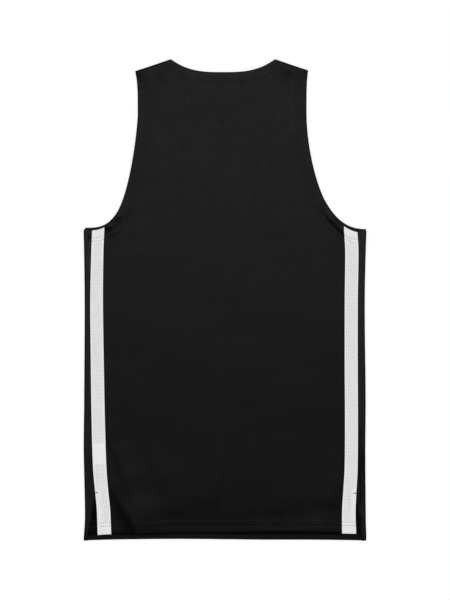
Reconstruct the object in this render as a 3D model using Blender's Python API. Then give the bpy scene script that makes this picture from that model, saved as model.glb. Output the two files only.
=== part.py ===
"""Sleeveless sports shirt, laid flat with its back up.

Metres, +Z up. The floor is at Z = 0, +Y runs towards the neck and +X towards the wearer's right side.
The front is the lower layer. It turns up round both sides and comes a little way onto the back, where a
mesh stripe joins it to the back panel. Below the slits' tops the stripe's outer edge is free.
Each piece is a sheet, drawn by its outer face, and a Solidify modifier gives it the cloth's thickness
inwards.
"""

from bisect import bisect_right
from collections import namedtuple
from math import cos, hypot, pi, sin, sqrt

import bmesh
import bpy
import numpy as np
from mathutils.geometry import delaunay_2d_cdt

MM = 0.001

# ---------------------------------------------------------------- driving sizes

HALF_LENGTH = 384.5 * MM        # the shirt is centred on the origin, from neck points to front hem
NECK_DEPTH = {"back": 20.7 * MM, "front": 118 * MM}
NECK_POWER = {"back": 3.0, "front": 2.4}

NARROW_DOWN = 88 * MM           # the armholes are narrowest this far below the neck points
STRAP_FLARE_POWER = 4           # how late the straps widen towards the shoulders
ARMHOLE_INSET = {"back": 0.0, "front": 2.5 * MM}
SLIT_TOP = -309 * MM
STRIPE_SHORT = 0.7 * MM         # how far the stripes end below the back's armhole

WALL = 1.1 * MM
SEAM_GAP = 0.3 * MM
AIR = 0.8 * MM                  # between the two layers, away from folds
LAYER_TOP = 2 * WALL + AIR      # the outer face of the upper layer there
SIDE_RADIUS = 2.0 * MM          # the front's fold at the sides
SHOULDER_DROP = 0.1 * MM        # the cloth runs straight down this far to the shoulder seam
SHOULDER_RADIUS = (LAYER_TOP - SEAM_GAP) / 2 - SHOULDER_DROP
SIDE_SLOPE = 45 * MM            # the upper layer comes down from the side folds over this width

BACK_PITCH = 17 * MM            # spacing of the points inside a panel
FRONT_PITCH = 30 * MM
EDGE_STEP = 15 * MM             # spacing of the points along an edge
SIDE_ROWS = 30                  # rows of points along a side fold, a stripe or its seam
SIDE_TURN_STEPS = 6
SHOULDER_TURN_STEPS = 3
SIDE_STRIP_STEPS = 3
STRIPE_STEPS = 2
WELD = 0.01 * MM

STRAP_POINTS = 24               # how finely each curve is drawn before it is divided evenly
CURVE_POINTS = 96
NECK_POINTS = 60
HEM_POINTS = 40

# Sizes that differ between the two sides, in millimetres. The armhole is narrow from the centre line at its
# narrowest, and its lower curve is a superellipse down to where front_bottom or back_bottom lies on the
# side fold. The flap is what is left of the front's turned strip at the hem.
Side = namedtuple("Side", "name sign neck corner corner_drop narrow across_power down_power"
                          " front_bottom back_bottom flap")
SIDES = (
    Side("left", -1, neck=86.4, corner=143.5, corner_drop=19.2, narrow=139.4, across_power=3.4,
         down_power=1.3, front_bottom=115.2, back_bottom=111.1, flap=5.0),
    Side("right", 1, neck=79.8, corner=132.8, corner_drop=18.0, narrow=130.2, across_power=2.4,
         down_power=1.7, front_bottom=113.1, back_bottom=107.5, flap=7.4),
)


def table(names, *rows):
    """A short table in millimetres, as one list in metres for each named column."""
    return {name: [row[i] * MM for row in rows] for i, name in enumerate(names.split())}


# How far the side folds and the stripes' middles lie from the centre line, from the hem upwards.
SIDE_FOLDS = table(
    "y left right",
    (-384.5, 225.8, 225.8),
    (-345, 223.8, 225.0),
    (-240, 225.8, 224.3),
    (-160, 225.1, 224.8),
    (0, 224.3, 223.4),
    (111, 225.8, 225.8),
)
STRIPES = table(
    "y left right left_width right_width",
    (-375, 192.6, 198.2, 21.8, 22.6),
    (-336, 194.1, 197.8, 21.5, 21.6),
    (-304, 197.2, 199.5, 21.3, 21.1),
    (-270, 200.0, 201.4, 21.6, 20.8),
    (-200, 202.3, 202.0, 21.4, 20.7),
    (-100, 204.0, 201.6, 20.8, 20.9),
    (0, 205.1, 201.7, 20.3, 20.9),
    (80, 203.8, 202.5, 19.4, 21.3),
    (111, 202.5, 200.6, 19.6, 21.2),
)

# The hems as they lie, from the left side to the right.
HEMS = table(
    "x front back",
    (-225.8, -384.5, -378.0),
    (-185, -383.1, -374.6),
    (-145, -382.5, -376.2),
    (-70, -382.0, -374.0),
    (5, -382.6, -374.0),
    (70, -383.2, -372.4),
    (130, -383.2, -372.6),
    (190, -383.8, -373.4),
    (225.8, -384.5, -374.0),
)

# The largest folds of the upper layer, in millimetres: soft ridges along a line, half as high at their width
# from it and gone at twice their width.
Fold = namedtuple("Fold", "x0 y0 x1 y1 width height")
FOLDS = (
    Fold(-192, 112, -166, 135, 10, 1.2),
    Fold(162, 135, 196, 103, 10, 1.4),
    Fold(-184, -296, -137, -370, 13, 2.2),
    Fold(-178, -232, -146, -316, 12, 1.4),
    Fold(-44, -310, -4, -316, 22, 1.0),
    Fold(70, -328, 106, -326, 20, 1.0),
    Fold(146, -316, 188, -320, 20, 1.3),
    Fold(118, -376, 190, -374, 14, 1.8),
)


# ---------------------------------------------------------------- curves

def slope(xs, ys, i):
    """The slope at row i of the smooth curve through all rows."""
    before = max(i - 1, 0)
    after = min(i + 1, len(xs) - 1)
    return (ys[after] - ys[before]) / (xs[after] - xs[before])


def read(rows, column, place, along="y"):
    """The smooth curve through one column of a table, level past its ends."""
    xs = rows[along]
    ys = rows[column]
    i = min(max(bisect_right(xs, place) - 1, 0), len(xs) - 2)
    span = xs[i + 1] - xs[i]
    t = min(max((place - xs[i]) / span, 0.0), 1.0)
    lead = slope(xs, ys, i) * t * (1 - t) ** 2
    trail = slope(xs, ys, i + 1) * t * t * (1 - t)
    return ys[i] + (ys[i + 1] - ys[i]) * t * t * (3 - 2 * t) + span * (lead - trail)


def smooth(t):
    """0 to 1 with level ends."""
    t = min(max(t, 0.0), 1.0)
    return t * t * (3 - 2 * t)


def evenly(points, step):
    """The same open line, with its points about one step apart."""
    points = np.array(points)
    run = np.concatenate([[0], np.cumsum(np.hypot(*np.diff(points, axis=0).T))])
    places = np.linspace(0, run[-1], max(round(run[-1] / step), 1) + 1)
    return [(np.interp(s, run, points[:, 0]), np.interp(s, run, points[:, 1])) for s in places]


# ---------------------------------------------------------------- the shirt's outline, seen from above

def side_fold(side, y):
    return side.sign * read(SIDE_FOLDS, side.name, y)


def fold_start(side, y):
    """Where the lower layer leaves the floor to turn round the side."""
    return side_fold(side, y) - side.sign * SIDE_RADIUS


def stripe_edge(side, y, share):
    """X across a stripe, from 0 at its outer edge to 1 at its seam with the back."""
    middle = read(STRIPES, side.name, y)
    return side.sign * (middle + (0.5 - share) * read(STRIPES, side.name + "_width", y))


def hem(layer, x):
    return read(HEMS, layer, x, along="x")


def shoulder(side):
    """The neck point, the shoulder's outer corner and the unit direction from the line into the shirt."""
    neck = (side.sign * side.neck * MM, HALF_LENGTH)
    corner = (side.sign * side.corner * MM, HALF_LENGTH - side.corner_drop * MM)
    run = (corner[0] - neck[0], corner[1] - neck[1])
    length = hypot(*run)
    inward = (side.sign * run[1] / length, -side.sign * run[0] / length)
    return neck, corner, inward


def armhole_bottom(side, layer):
    """The height of the armhole's curve at the side fold."""
    return (side.front_bottom if layer == "front" else side.back_bottom) * MM


def armhole_reach(side, layer):
    """The armhole's narrowest half width, and how far out and down from there its curve runs."""
    bottom = armhole_bottom(side, layer)
    narrow = side.narrow * MM - ARMHOLE_INSET[layer]
    out = abs(side_fold(side, bottom)) - narrow
    down = HALF_LENGTH - NARROW_DOWN - bottom
    return narrow, out, down


def armhole_y(side, layer, x):
    """The height of the armhole's lower curve at a place across the shirt."""
    narrow, out, down = armhole_reach(side, layer)
    share = min(max((abs(x) - narrow) / out, 0.0), 1.0)
    fall = (1 - (1 - share) ** side.across_power) ** (1 / side.down_power)
    return HALF_LENGTH - NARROW_DOWN - down * fall


def armhole(side, layer, x_end):
    """The armhole's edge, from the shoulder corner down to its end at x_end."""
    corner = shoulder(side)[1]
    narrow, out, down = armhole_reach(side, layer)
    flare = abs(corner[0]) - narrow
    y_narrow = HALF_LENGTH - NARROW_DOWN
    points = []
    for i in range(STRAP_POINTS):
        share = 1 - i / STRAP_POINTS
        half_width = narrow + flare * share ** STRAP_FLARE_POWER
        points.append((side.sign * half_width, y_narrow + share * (corner[1] - y_narrow)))
    for i in range(CURVE_POINTS):
        angle = pi / 2 * i / CURVE_POINTS
        half_width = narrow + out * (1 - cos(angle) ** (2 / side.across_power))
        if half_width < abs(x_end):
            points.append((side.sign * half_width, y_narrow - down * sin(angle) ** (2 / side.down_power)))
    points.append((x_end, armhole_y(side, layer, x_end)))
    return evenly(points, EDGE_STEP)


def neckline(layer):
    """The neck's edge from its left point to its right one."""
    left, right = (side.sign * side.neck * MM for side in SIDES)
    middle = (left + right) / 2
    half = (right - left) / 2
    points = []
    for i in range(NECK_POINTS + 1):
        t = 2 * i / NECK_POINTS - 1
        drop = NECK_DEPTH[layer] * (1 - abs(t) ** NECK_POWER[layer])
        points.append((middle + t * half, HALF_LENGTH - drop))
    return evenly(points, EDGE_STEP)


def panel_outline(layer, seam):
    """A panel's outline, round from the left hem corner: up the side, over the shoulders and back.

    seam(side, y) is the panel's own side edge. Along the shoulders the outline stops where the cloth
    starts to turn round the fold.
    """
    rounds = []
    for side in SIDES:
        x_top = seam(side, armhole_bottom(side, "front"))
        y_top = armhole_y(side, layer, x_top)
        y_hem = hem(layer, seam(side, -HALF_LENGTH))
        rows = [y_hem + (y_top - y_hem) * i / SIDE_ROWS for i in range(SIDE_ROWS + 1)]
        edge = [(seam(side, y), y) for y in rows]
        arm = armhole(side, layer, x_top)
        strap = [(x, y) for x, y, z in shoulder_turn(side, layer)[0]]
        rounds.append(edge[:-1] + arm[:0:-1] + strap)
    across = np.linspace(rounds[1][0][0], rounds[0][0][0], HEM_POINTS)
    base = evenly([(x, hem(layer, x)) for x in across], EDGE_STEP)
    return rounds[0] + neckline(layer)[1:-1] + rounds[1][::-1] + base[1:-1]


def shoulder_turn(side, layer):
    """Rows of points from where the cloth starts to turn at the shoulder to the seam in the fold's edge."""
    neck, corner, inward = shoulder(side)
    line = evenly([corner, neck], EDGE_STEP)
    profile = []
    for i in range(SHOULDER_TURN_STEPS + 1):
        angle = pi / 2 * i / SHOULDER_TURN_STEPS
        profile.append((SHOULDER_RADIUS * (1 - sin(angle)), SHOULDER_RADIUS * (1 - cos(angle))))
    profile.append((0.0, SHOULDER_RADIUS + SHOULDER_DROP))
    rows = []
    for depth, turned in profile:
        z = turned if layer == "front" else LAYER_TOP - turned
        rows.append([(x + inward[0] * depth, y + inward[1] * depth, z) for x, y in line])
    return rows


# ---------------------------------------------------------------- the upper layer's height

def fold_height(fold, x, y):
    """A ridge's height at a place, from its distance to the ridge's line."""
    run_x = (fold.x1 - fold.x0) * MM
    run_y = (fold.y1 - fold.y0) * MM
    from_x = x - fold.x0 * MM
    from_y = y - fold.y0 * MM
    t = min(max((from_x * run_x + from_y * run_y) / (run_x ** 2 + run_y ** 2), 0.0), 1.0)
    distance = hypot(from_x - t * run_x, from_y - t * run_y)
    return fold.height * MM * (1 - smooth(distance / (2 * fold.width * MM)))


def top(x, y):
    """The height of the upper layer's outer face."""
    side = SIDES[int(x > 0)]
    from_fold = abs(fold_start(side, y)) - abs(x)
    rise = (2 * SIDE_RADIUS - LAYER_TOP) * (1 - smooth(from_fold / SIDE_SLOPE))
    return LAYER_TOP + rise + sum(fold_height(fold, x, y) for fold in FOLDS)


# ---------------------------------------------------------------- sheets

def inner_points(outline, pitch):
    """A staggered grid of points inside an outline, clear of its edge by half their spacing."""
    start = np.array(outline)
    edge = np.roll(start, -1, axis=0) - start
    low = start.min(axis=0)
    high = start.max(axis=0)
    found = []
    for row, y in enumerate(np.arange(low[1], high[1], pitch * sqrt(3) / 2)):
        for x in np.arange(low[0] + pitch / 2 * (row % 2), high[0], pitch):
            away = np.array((x, y)) - start
            t = np.clip((away * edge).sum(axis=1) / (edge ** 2).sum(axis=1), 0, 1)
            distance = np.hypot(*(away - t[:, None] * edge).T).min()
            straddles = (away[:, 1] < 0) != (away[:, 1] < edge[:, 1])
            to_left = away[:, 1] / np.where(straddles, edge[:, 1], 1) * edge[:, 0] > away[:, 0]
            if distance > pitch / 2 and (straddles & to_left).sum() % 2:
                found.append((x, y))
    return found


def add_fill(bm, outline, pitch, height):
    """Fills an outline with triangles at the height that height(x, y) gives."""
    points = outline + inner_points(outline, pitch)
    inside_only = 1
    result = delaunay_2d_cdt(points, [], [list(range(len(outline)))], inside_only, WELD)
    verts = [bm.verts.new((x, y, height(x, y))) for x, y in result[0]]
    for face in result[2]:
        bm.faces.new([verts[i] for i in face])


def add_rows(bm, rows):
    """Joins neighbouring rows of points with triangles."""
    grid = [[bm.verts.new(point) for point in row] for row in rows]
    for near, far in zip(grid, grid[1:]):
        for i in range(len(near) - 1):
            bm.faces.new((near[i], near[i + 1], far[i]))
            bm.faces.new((near[i + 1], far[i + 1], far[i]))


def add_sheet(name, bm, colour, roughness, faces_up):
    """Makes a sheet an object with the cloth's thickness behind its outer face."""
    bmesh.ops.remove_doubles(bm, verts=bm.verts[:], dist=WELD)
    bmesh.ops.recalc_face_normals(bm, faces=bm.faces[:])
    widest = max(bm.faces, key=lambda face: face.calc_area())
    if (widest.normal.z > 0) != faces_up:
        bmesh.ops.reverse_faces(bm, faces=bm.faces[:])
    mesh = bpy.data.meshes.new(name)
    bm.to_mesh(mesh)
    bm.free()
    mesh.shade_smooth()
    piece = bpy.data.objects.new(name, mesh)
    bpy.context.scene.collection.objects.link(piece)
    thickness = piece.modifiers.new("Cloth thickness", "SOLIDIFY")
    thickness.thickness = WALL
    thickness.offset = -1
    thickness.use_even_offset = True
    thickness.use_quality_normals = True
    material = bpy.data.materials.new(name + "_cloth")
    material.use_nodes = True
    shader = material.node_tree.nodes["Principled BSDF"]
    shader.inputs["Base Color"].default_value = (*colour, 1)
    shader.inputs["Roughness"].default_value = roughness
    shader.inputs["Metallic"].default_value = 0
    mesh.materials.append(material)


BLACK = (0.012, 0.012, 0.013)
WHITE = (0.75, 0.75, 0.75)


# ---------------------------------------------------------------- the four pieces

def side_strip_rows(side):
    """The front's rows from the floor round the side fold to its seam, or to its free edge at the slit."""
    rows = []
    for turn in range(SIDE_TURN_STEPS + SIDE_STRIP_STEPS + 1):
        share = max(turn - SIDE_TURN_STEPS, 0) / SIDE_STRIP_STEPS
        angle = pi * min(turn / SIDE_TURN_STEPS, 1) - pi / 2
        row = []
        y_fold = armhole_bottom(side, "front")
        if turn == 0:
            y_fold = armhole_y(side, "front", fold_start(side, y_fold))
        y_seam = armhole_y(side, "back", strip_edge(side, y_fold))
        y_top = y_fold + (y_seam - y_fold) * share
        y_hem = hem("front", fold_start(side, -HALF_LENGTH))
        for i in range(SIDE_ROWS + 1):
            y = y_hem + (y_top - y_hem) * i / SIDE_ROWS
            start = fold_start(side, y)
            inner = start + (strip_edge(side, y) - start) * share
            x = inner + side.sign * SIDE_RADIUS * cos(angle)
            lift = top(inner, y)
            z = lift if share else lift / 2 * (1 + sin(angle))
            row.append((x if share == 0 else inner, y, z))
        rows.append(row)
    return rows


def strip_edge(side, y):
    """The strip's inner edge: a seam gap from the stripe, and below the slit's top a straight free edge."""
    seam = stripe_edge(side, max(y, SLIT_TOP), 0) + side.sign * SEAM_GAP
    down = max(SLIT_TOP - y, 0.0) / (SLIT_TOP + HALF_LENGTH)
    return seam + (side_fold(side, y) - side.sign * side.flap * MM - seam) * min(down, 1.0)


def make_front():
    bm = bmesh.new()
    add_fill(bm, panel_outline("front", fold_start), FRONT_PITCH, lambda x, y: 0.0)
    for side in SIDES:
        add_rows(bm, shoulder_turn(side, "front"))
        add_rows(bm, side_strip_rows(side))
    add_sheet("front_panel", bm, BLACK, 0.6, faces_up=False)


def make_back():
    def seam(side, y):
        return stripe_edge(side, y, 1) - side.sign * SEAM_GAP

    bm = bmesh.new()
    add_fill(bm, panel_outline("back", seam), BACK_PITCH, top)
    for side in SIDES:
        rows = shoulder_turn(side, "back")
        rows[0] = [(x, y, top(x, y)) for x, y, z in rows[0]]
        add_rows(bm, rows)
    add_sheet("back_panel", bm, BLACK, 0.6, faces_up=True)


def make_stripe(side):
    rows = []
    for column in range(STRIPE_STEPS + 1):
        share = column / STRIPE_STEPS
        y_hem = hem("back", stripe_edge(side, -HALF_LENGTH, share))
        x_top = stripe_edge(side, armhole_bottom(side, "front"), share)
        y_top = armhole_y(side, "back", x_top) - STRIPE_SHORT
        row = []
        for i in range(SIDE_ROWS + 1):
            y = y_hem + (y_top - y_hem) * i / SIDE_ROWS
            x = stripe_edge(side, y, share)
            row.append((x, y, top(x, y)))
        rows.append(row)
    bm = bmesh.new()
    add_rows(bm, rows)
    add_sheet("stripe_" + side.name, bm, WHITE, 0.7, faces_up=True)


for old in list(bpy.data.objects):
    bpy.data.objects.remove(old, do_unlink=True)

make_front()
make_back()
for stripe_side in SIDES:
    make_stripe(stripe_side)
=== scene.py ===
"""Looks for the sleeveless sports shirt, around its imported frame.

The shirt lies on the floor at Z = 0 with its back up and its neck towards +Y. Sizes are in millimetres and
are turned into metres where a mesh is made. Each piece of cloth is drawn flat in its own pattern plane,
where it is cut into triangles, and is then placed on the form of its solid.
"""

from collections import namedtuple
from math import pi, sqrt

import bpy
import numpy as np
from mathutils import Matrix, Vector
from mathutils.geometry import delaunay_2d_cdt


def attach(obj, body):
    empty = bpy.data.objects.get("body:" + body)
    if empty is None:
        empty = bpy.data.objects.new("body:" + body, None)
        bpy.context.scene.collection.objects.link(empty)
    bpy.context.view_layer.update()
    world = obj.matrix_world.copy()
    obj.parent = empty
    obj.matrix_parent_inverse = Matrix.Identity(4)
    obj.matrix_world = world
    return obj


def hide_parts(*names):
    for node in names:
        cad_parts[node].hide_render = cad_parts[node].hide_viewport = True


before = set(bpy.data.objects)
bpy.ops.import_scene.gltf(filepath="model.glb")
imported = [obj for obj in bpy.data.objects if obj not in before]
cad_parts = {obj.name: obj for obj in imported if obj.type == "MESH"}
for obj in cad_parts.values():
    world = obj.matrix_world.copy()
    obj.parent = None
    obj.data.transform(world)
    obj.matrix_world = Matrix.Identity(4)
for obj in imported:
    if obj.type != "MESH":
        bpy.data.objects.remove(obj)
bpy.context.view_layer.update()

MM = 0.001

# ---------------------------------------------------------------- sizes of the solids, as in the part

HALF_LENGTH = 384.5
NECK_DEPTH = {"back": 20.7, "front": 118.0}
NECK_POWER = {"back": 3.0, "front": 2.4}
NARROW_DOWN = 88.0
STRAP_FLARE_POWER = 4
ARMHOLE_INSET = {"back": 0.0, "front": 2.5}
SLIT_TOP = -309.0
STRIPE_SHORT = 0.7
LAYER_TOP = 3.0                 # the outer face of the upper layer, away from folds
SIDE_RADIUS = 2.0
SIDE_SLOPE = 45.0

Side = namedtuple("Side", "name sign neck corner corner_drop narrow across_power down_power"
                          " front_bottom back_bottom flap")
LEFT = Side("left", -1, neck=86.4, corner=143.5, corner_drop=19.2, narrow=139.4, across_power=3.4,
            down_power=1.3, front_bottom=115.2, back_bottom=111.1, flap=5.0)
RIGHT = Side("right", 1, neck=79.8, corner=132.8, corner_drop=18.0, narrow=130.2, across_power=2.4,
             down_power=1.7, front_bottom=113.1, back_bottom=107.5, flap=7.4)
SIDES = (LEFT, RIGHT)


def table(names, *rows):
    """A short table, as one array for each named column."""
    return {name: np.array([row[i] for row in rows], float) for i, name in enumerate(names.split())}


SIDE_FOLDS = table(
    "y left right",
    (-384.5, 225.8, 225.8),
    (-345, 223.8, 225.0),
    (-240, 225.8, 224.3),
    (-160, 225.1, 224.8),
    (0, 224.3, 223.4),
    (111, 225.8, 225.8),
)
STRIPES = table(
    "y left right left_width right_width",
    (-375, 192.6, 198.2, 21.8, 22.6),
    (-336, 194.1, 197.8, 21.5, 21.6),
    (-304, 197.2, 199.5, 21.3, 21.1),
    (-270, 200.0, 201.4, 21.6, 20.8),
    (-200, 202.3, 202.0, 21.4, 20.7),
    (-100, 204.0, 201.6, 20.8, 20.9),
    (0, 205.1, 201.7, 20.3, 20.9),
    (80, 203.8, 202.5, 19.4, 21.3),
    (111, 202.5, 200.6, 19.6, 21.2),
)
HEMS = table(
    "x front back",
    (-225.8, -384.5, -378.0),
    (-185, -383.1, -374.6),
    (-145, -382.5, -376.2),
    (-70, -382.0, -374.0),
    (5, -382.6, -374.0),
    (70, -383.2, -372.4),
    (130, -383.2, -372.6),
    (190, -383.8, -373.4),
    (225.8, -384.5, -374.0),
)

# ---------------------------------------------------------------- sizes of the visible cloth

CLOTH = 0.65                    # one layer
HEM_CLOTH = 1.3                 # a layer turned in on itself
SEAM_GAP = 0.1                  # between two pieces at a seam
SHOULDER_RADIUS = 1.44
LAYER_GAP = 0.03                # the least between the lower layer and what lies on it
UNDER_LIFT = 0.42               # how far its hems and their thread hold the underside off the floor

# How a free edge is finished: how far the cloth is turned in, and how far in its stitch rows run.
Finish = namedtuple("Finish", "turned rows")
FINISHES = {
    "hem": Finish(19.7, (12.8, 18.2)),
    "arm": Finish(19.0, (12.2, 17.6)),
    "neck": Finish(15.4, (9.8, 14.0)),
    "slit": Finish(8.0, (6.2,)),
}
TURNED_END = 1.3                # over which a turned edge gets thin again
HEM_RISE = 0.16
BLACK_GROOVE = 0.05             # how deep a stitch row pulls the cloth in
WHITE_GROOVE = 0.8
GROOVE_WIDTH = 0.7
# How far a free edge turns down, and over what width.
EDGE_ROLL = {"hem": (0.8, 2.4), "arm": (0.4, 0.9), "neck": (0.4, 0.9), "slit": (0.4, 0.9)}
SEAM_ROLL = 0.45                # how far a sewn edge turns down into its seam
SEAM_ROLL_WIDTH = 1.3
ROLL_POWER = 1.5
SEAM_RISE = 0.10                # the seam's turned-in edges lift the cloth beside it
SEAM_RISE_START = 1.5
SEAM_TURNED = 6.5
SEAM_TURNED_END = 1.6
CORNER_ROUND = {"left": 3.2, "right": 0.8}  # how far the side folds draw in at their tops
CORNER_LENGTH = 6.0
# Farther in from a free edge than EDGE_BAND, the inner face has a duller copy of the knit, which paints
# shade.
EDGE_BAND = 7.0                 # the inner face shows the cloth's right side this far in from a free edge

# The points that the pieces are drawn with.
EDGE_STEP = 2.6                 # spacing along an edge
PITCH = 3.7                     # spacing inside a panel
ROLL_STEPS = 10                 # round a side fold
STRAP_POINTS = 61               # before they are spaced evenly
ARMHOLE_POINTS = 241
NECK_POINTS = 121
HEM_POINTS = 200
STRIPE_END_POINTS = 40
PAST_END = 30.0                 # how far the lines that follow an edge run on past its ends

# The mesh of the stripes: staggered round holes.
HOLE_ACROSS = 3.0
HOLE_ALONG = 2.2
HOLE_RADIUS = 0.38
HOLE_SIDES = 8
HOLE_SUNK = 0.12                # how far the rim of an open hole lies below the cloth
BLIND_SUNK = 0.1                # the same for a blind hole, where the mesh is doubled
BLIND_FLOOR = 0.85              # a blind hole's floor, as a share of its rim
BLIND_MARGIN = 0.6              # holes are blind this far past the doubled cloth
ROW_CLEAR = 0.75                # the least between a hole and a stitch row
PLAIN_BORDER = 1.9              # without holes, along the seams
PLAIN_PATCH = (-262.0, -230.0)  # a smooth place without holes on the left stripe

STITCH_PITCH = 3.0
STITCH_LENGTH = 2.4
STITCH_CLEAR = 0.6              # the least between a stitch and the piece's edge
THREAD_RADIUS = 0.17
BOLD_THREAD_RADIUS = 0.22       # of the black thread on the white stripes
THREAD_SIDES = 6
# A thread from one end to the other: how far along, how high above the cloth and how thick.
THREAD_FORM = ((0.0, -0.12, 0.6), (0.16, 0.10, 1.0), (0.5, 0.15, 1.0), (0.84, 0.10, 1.0), (1.0, -0.12, 0.6))

# The bar tack across the top of each slit.
TACK_STITCHES = 13
TACK_REACH = (0.5, 4.6)         # where it starts and ends, from the stripe's outer edge
TACK_HALF = 0.65                # half the length of one of its stitches
TACK_LEAN = 0.12
TACK_STAGGER = 0.3
TACK_RISE = {"left": 1.2, "right": 0.2}     # how far above the slit's top it lies

# Soft creases of the upper layer: from one end to the other, bowed to the left of that direction by bend.
# The cloth falls off over left and right on the two sides, and over more of it towards the last end, by the
# flare. A negative height is a trough. The phase says where along it the crease is high and low.
Crease = namedtuple("Crease", "x0 y0 x1 y1 bend left right height flare phase")
CREASES = (
    # under the left arm
    Crease(-181, 128, -163, 137, 0, 26, 5.5, 0.9, 0.0, 0.2),
    Crease(-196, 111, -176, 121, 0, 18, 4.5, 1.0, 0.3, 0.4),
    Crease(-184, 103, -173, 110, 0, 7, 2.6, 0.35, 0.0, 0.3),
    # under the right arm
    Crease(207, 93, 162, 139, 2, 4.2, 22, 1.25, 0.6, 0.9),
    # lower left
    Crease(-187, -290, -113, -410, 1, 52, 15, 2.1, 0.7, 0.4),
    Crease(-180, -232, -146, -318, 1, 44, 9, 0.8, 0.6, 0.2),
    Crease(-121, -238, -96, -312, 2, 30, 12, 0.5, 0.3, 0.1),
    # along the bottom hem
    Crease(-96, -331, -50, -334, 2, 60, 13, 0.7, 0.2, 0.8),
    Crease(-46, -312, -4, -318, 3, 70, 17, 0.8, 0.2, 0.15),
    Crease(66, -331, 108, -326, -2, 60, 13, 0.7, 0.2, 0.55),
    Crease(142, -318, 190, -322, 3, 60, 15, 0.8, 0.2, 0.25),
    Crease(-164, -378, -124, -377, 0, 34, 20, 0.7, 0.0, 0.4),
    Crease(122, -377, 188, -374, 1, 44, 20, 1.7, 0.0, 0.6),
    # beside the shoulders and the neck
    Crease(-141, 362.5, -90, 379.7, 0, 3, 24, 1.7, -0.3, 0.0),
    Crease(83, 379.7, 130, 363.8, 0, 3, 16, 1.5, 0.0, 0.7),
    Crease(-78, 364, 74, 364, -15, 6, 40, 0.8, 0.0, 0.4),
    # on the stripes and the strips beside them
    Crease(-213.5, 112, -216, 88, 0, 3, 3, -0.8, 0.0, 0.2),
    Crease(-210, -196, -206, -392, 0, 4, 13, -1.5, 0.3, 0.5),
    Crease(-222, -216, -220.5, -396, 0, 7, 3, 0.6, 0.2, 0.1),
    Crease(216, -214, 220, -336, 0, 3, 3, -1.5, 0.2, 0.6),
    Crease(216, -322, 213, -388, 0, 3, 4, -1.4, 0.2, 0.3),
    Crease(194.2, -292, 195.8, -345, 0, 2.6, 2.6, -1.4, 0.0, 0.2),
    Crease(200.5, -294, 201.0, -334, 0, 5, 3, 0.9, 0.0, 0.1),
)
# The same for the underside, where a crease stands up off the floor.
UNDER_CREASES = (
    Crease(-60, 250, 30, 214, 8, 12, 9, 0.5, 0.2, 0.2),
    Crease(-150, 150, -84, 96, -6, 11, 14, 0.8, 0.3, 0.6),
    Crease(130, 170, 90, 84, 6, 14, 10, 0.7, 0.2, 0.1),
    Crease(-170, -60, -120, -170, 9, 13, 16, 0.7, 0.3, 0.8),
    Crease(60, 20, 140, -60, 7, 12, 12, 0.6, 0.0, 0.4),
    Crease(-30, -140, 40, -230, -8, 15, 11, 0.7, 0.4, 0.5),
    Crease(160, -200, 120, -320, 6, 12, 15, 0.8, 0.2, 0.3),
    Crease(-180, -260, -110, -340, 5, 14, 12, 0.8, 0.3, 0.0),
)
FULL_WIDTH_AT = 0.7             # where along a flared crease it has its stated width
CREASE_ENDS = 0.3               # the share of its height that a crease has at its ends
CREASE_RUN_OUT = 0.8            # how soon it is gone past them, as a share of its width
CREASE_UNEVEN = 0.22
CREASE_WAVES = 1.6
LEAST_LIFT = 0.05               # a lift of the underside below this is left out
LIFT_START = 0.2                # over which it sets in above that
SWELL_WIDE = 0.16
SWELL_FINE = 0.04


# ---------------------------------------------------------------- curves

def read(rows, column, place, along="y"):
    """The smooth curve through one column of a table, level past its ends."""
    xs = rows[along]
    ys = rows[column]
    place = np.asarray(place, float)
    last = len(xs) - 1
    before = np.maximum(np.arange(last + 1) - 1, 0)
    after = np.minimum(np.arange(last + 1) + 1, last)
    slope = (ys[after] - ys[before]) / (xs[after] - xs[before])
    i = np.clip(np.searchsorted(xs, place, side="right") - 1, 0, last - 1)
    span = xs[i + 1] - xs[i]
    t = np.clip((place - xs[i]) / span, 0.0, 1.0)
    lead = slope[i] * t * (1 - t) ** 2
    trail = slope[i + 1] * t * t * (1 - t)
    return ys[i] + (ys[i + 1] - ys[i]) * t * t * (3 - 2 * t) + span * (lead - trail)


def smooth(t):
    """0 to 1 with level ends."""
    t = np.clip(t, 0.0, 1.0)
    return t * t * (3 - 2 * t)


def evenly(points, step):
    """The same open line, with its points about one step apart."""
    points = np.asarray(points, float)
    run = np.concatenate([[0], np.cumsum(np.hypot(*np.diff(points, axis=0).T))])
    places = np.linspace(0, run[-1], max(round(run[-1] / step), 1) + 1)
    return np.column_stack([np.interp(places, run, points[:, 0]), np.interp(places, run, points[:, 1])])


def distance(line, x, y):
    """How far each place is from a line of points."""
    nearest = np.full(np.shape(x), np.inf)
    for (x0, y0), (x1, y1) in zip(line, line[1:]):
        run_x = x1 - x0
        run_y = y1 - y0
        t = np.clip(((x - x0) * run_x + (y - y0) * run_y) / (run_x ** 2 + run_y ** 2), 0, 1)
        nearest = np.minimum(nearest, np.hypot(x - x0 - t * run_x, y - y0 - t * run_y))
    return nearest


# ---------------------------------------------------------------- the shirt's form, as in the part

def side_fold(side, y):
    """How far the side fold lies from the centre line."""
    return read(SIDE_FOLDS, side.name, y)


def fold_start(side, y):
    """How far out the lower layer leaves the floor to turn round the side."""
    into_corner = np.clip((y - side.front_bottom + CORNER_LENGTH) / CORNER_LENGTH, 0, 1.2)
    return side_fold(side, y) - SIDE_RADIUS - CORNER_ROUND[side.name] * into_corner ** 2


def stripe_edge(side, y, share):
    """How far out a place across a stripe lies, from 0 at its outer edge to 1 at its seam with the back."""
    return read(STRIPES, side.name, y) + (0.5 - share) * read(STRIPES, side.name + "_width", y)


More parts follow.
